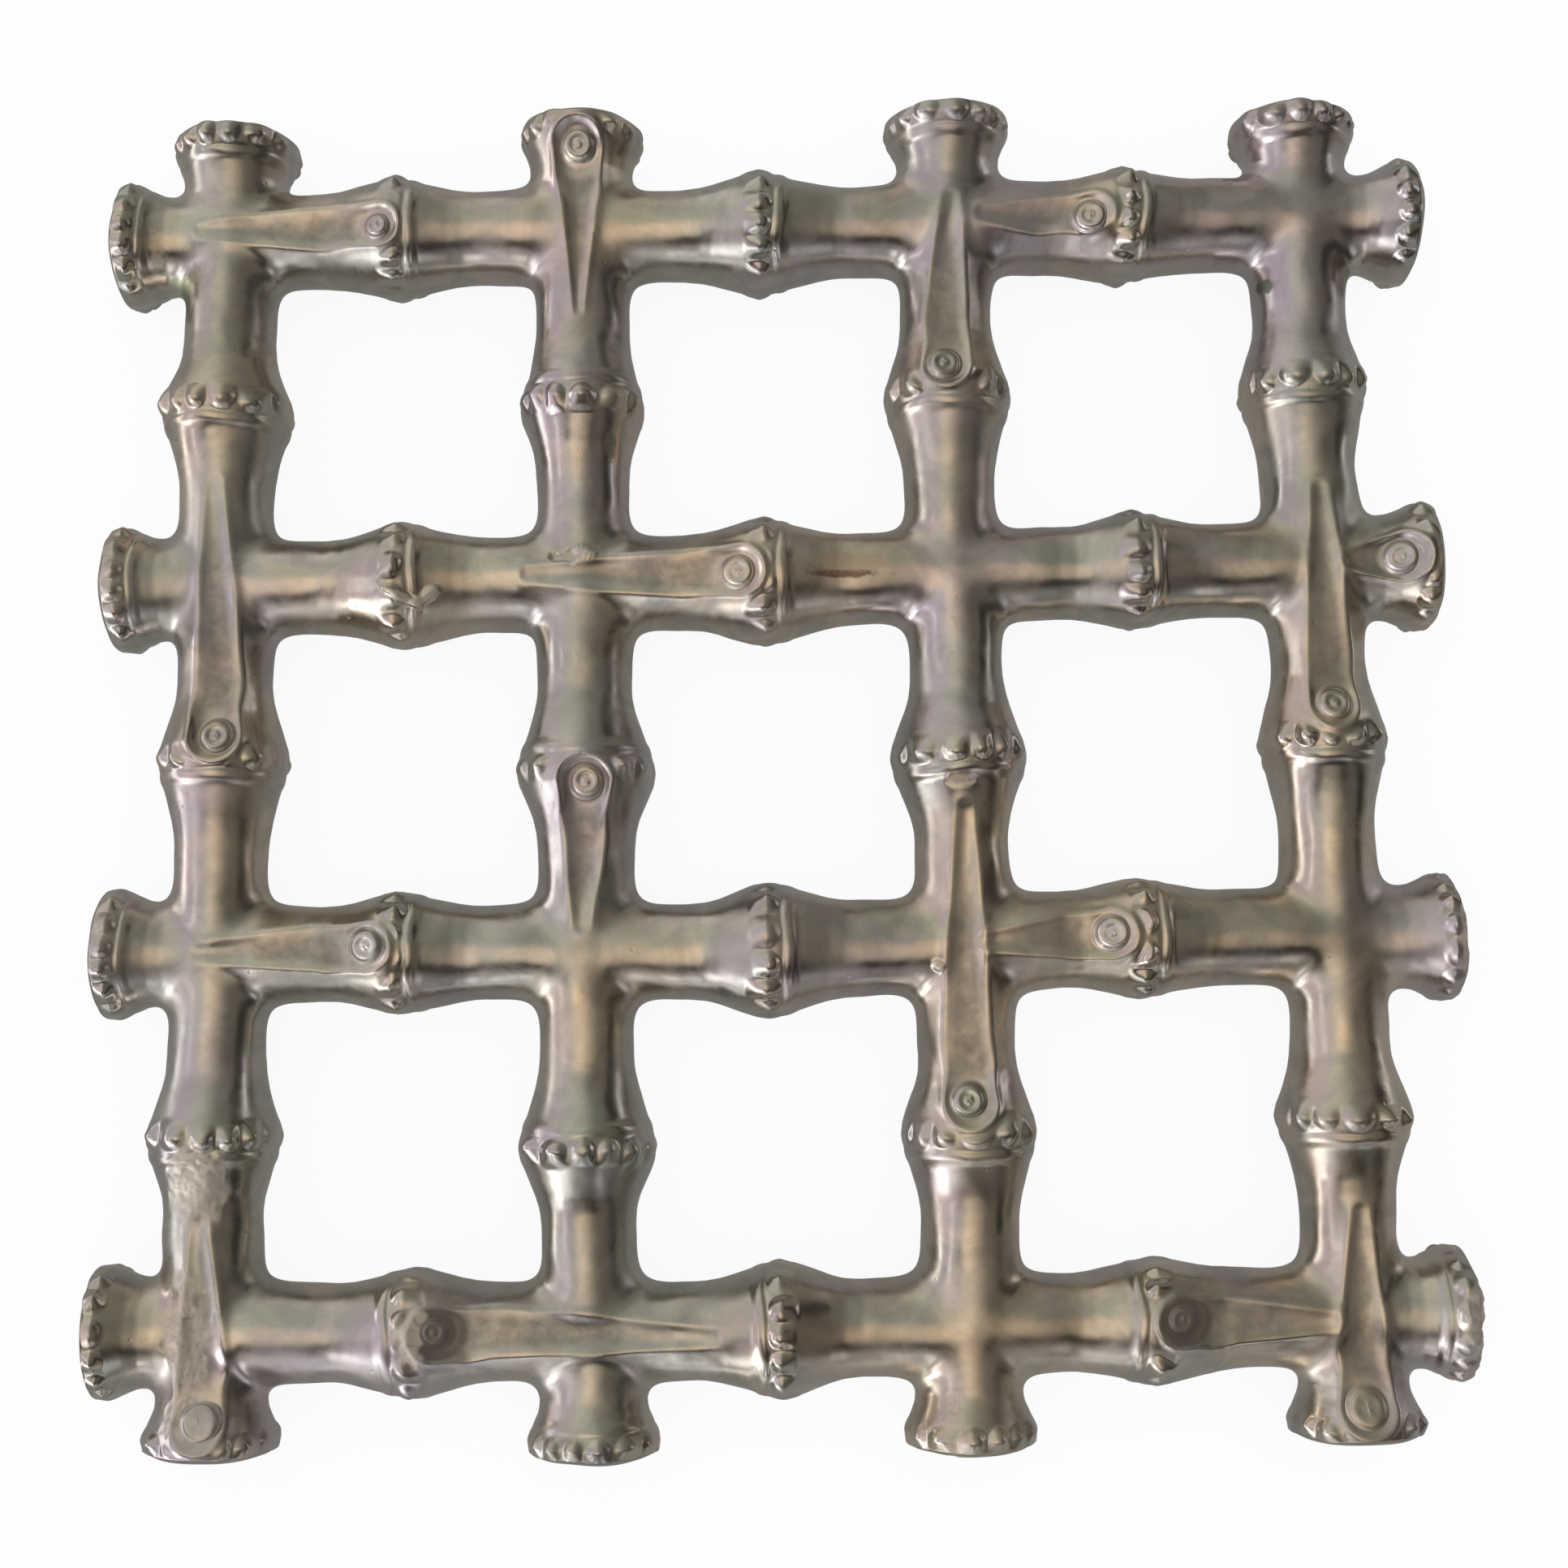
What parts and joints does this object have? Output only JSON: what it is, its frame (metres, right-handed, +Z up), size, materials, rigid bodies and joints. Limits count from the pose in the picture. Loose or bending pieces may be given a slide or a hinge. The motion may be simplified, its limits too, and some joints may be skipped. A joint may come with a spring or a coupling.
{
  "type": "trivet",
  "caption": "Square openwork trivet of crossed faux bamboo stems with beaded nodes, flared ends and bud pins, silvered brass.",
  "frame": {"origin": "under the middle of the trivet, on the plane of the rest flats", "axes": "+Z up, +X along the cross stems to the picture's right, +Y along the long stems to its top"},
  "size_m": [0.1812, 0.1812, 0.0177],
  "materials": {
    "silvered_brass": "worn silver plate on brass, polished, with warm grey tarnish in the hollows",
    "silvered_pin": "worn silver plate, dark in the recess of the head",
    "silver_solder": "silver solder dressed flush and plated over with the stems"
  },
  "bodies": {
    "root": {"cross_stem_1": "silvered_brass", "cross_stem_2": "silvered_brass", "cross_stem_3": "silvered_brass", "cross_stem_4": "silvered_brass", "long_stem_1": "silvered_brass", "long_stem_2": "silvered_brass", "long_stem_3": "silvered_brass", "long_stem_4": "silvered_brass", "cross_stem_1_bud_pin_1": "silvered_pin", "cross_stem_1_bud_pin_2": "silvered_pin", "cross_stem_2_bud_pin_1": "silvered_pin", "cross_stem_2_bud_pin_2": "silvered_pin", "cross_stem_3_bud_pin_1": "silvered_pin", "cross_stem_3_bud_pin_2": "silvered_pin", "cross_stem_4_bud_pin_1": "silvered_pin", "cross_stem_4_bud_pin_2": "silvered_pin", "long_stem_1_bud_pin_1": "silvered_pin", "long_stem_1_bud_pin_2": "silvered_pin", "long_stem_2_bud_pin_1": "silvered_pin", "long_stem_2_bud_pin_2": "silvered_pin", "long_stem_3_bud_pin_1": "silvered_pin", "long_stem_3_bud_pin_2": "silvered_pin", "long_stem_4_bud_pin_1": "silvered_pin", "long_stem_4_bud_pin_2": "silvered_pin", "solder_joint_1_1": "silver_solder", "solder_joint_1_2": "silver_solder", "solder_joint_1_3": "silver_solder", "solder_joint_1_4": "silver_solder", "solder_joint_2_1": "silver_solder", "solder_joint_2_2": "silver_solder", "solder_joint_2_3": "silver_solder", "solder_joint_2_4": "silver_solder", "solder_joint_3_1": "silver_solder", "solder_joint_3_2": "silver_solder", "solder_joint_3_3": "silver_solder", "solder_joint_3_4": "silver_solder", "solder_joint_4_1": "silver_solder", "solder_joint_4_2": "silver_solder", "solder_joint_4_3": "silver_solder", "solder_joint_4_4": "silver_solder"}
  },
  "joints": []
}
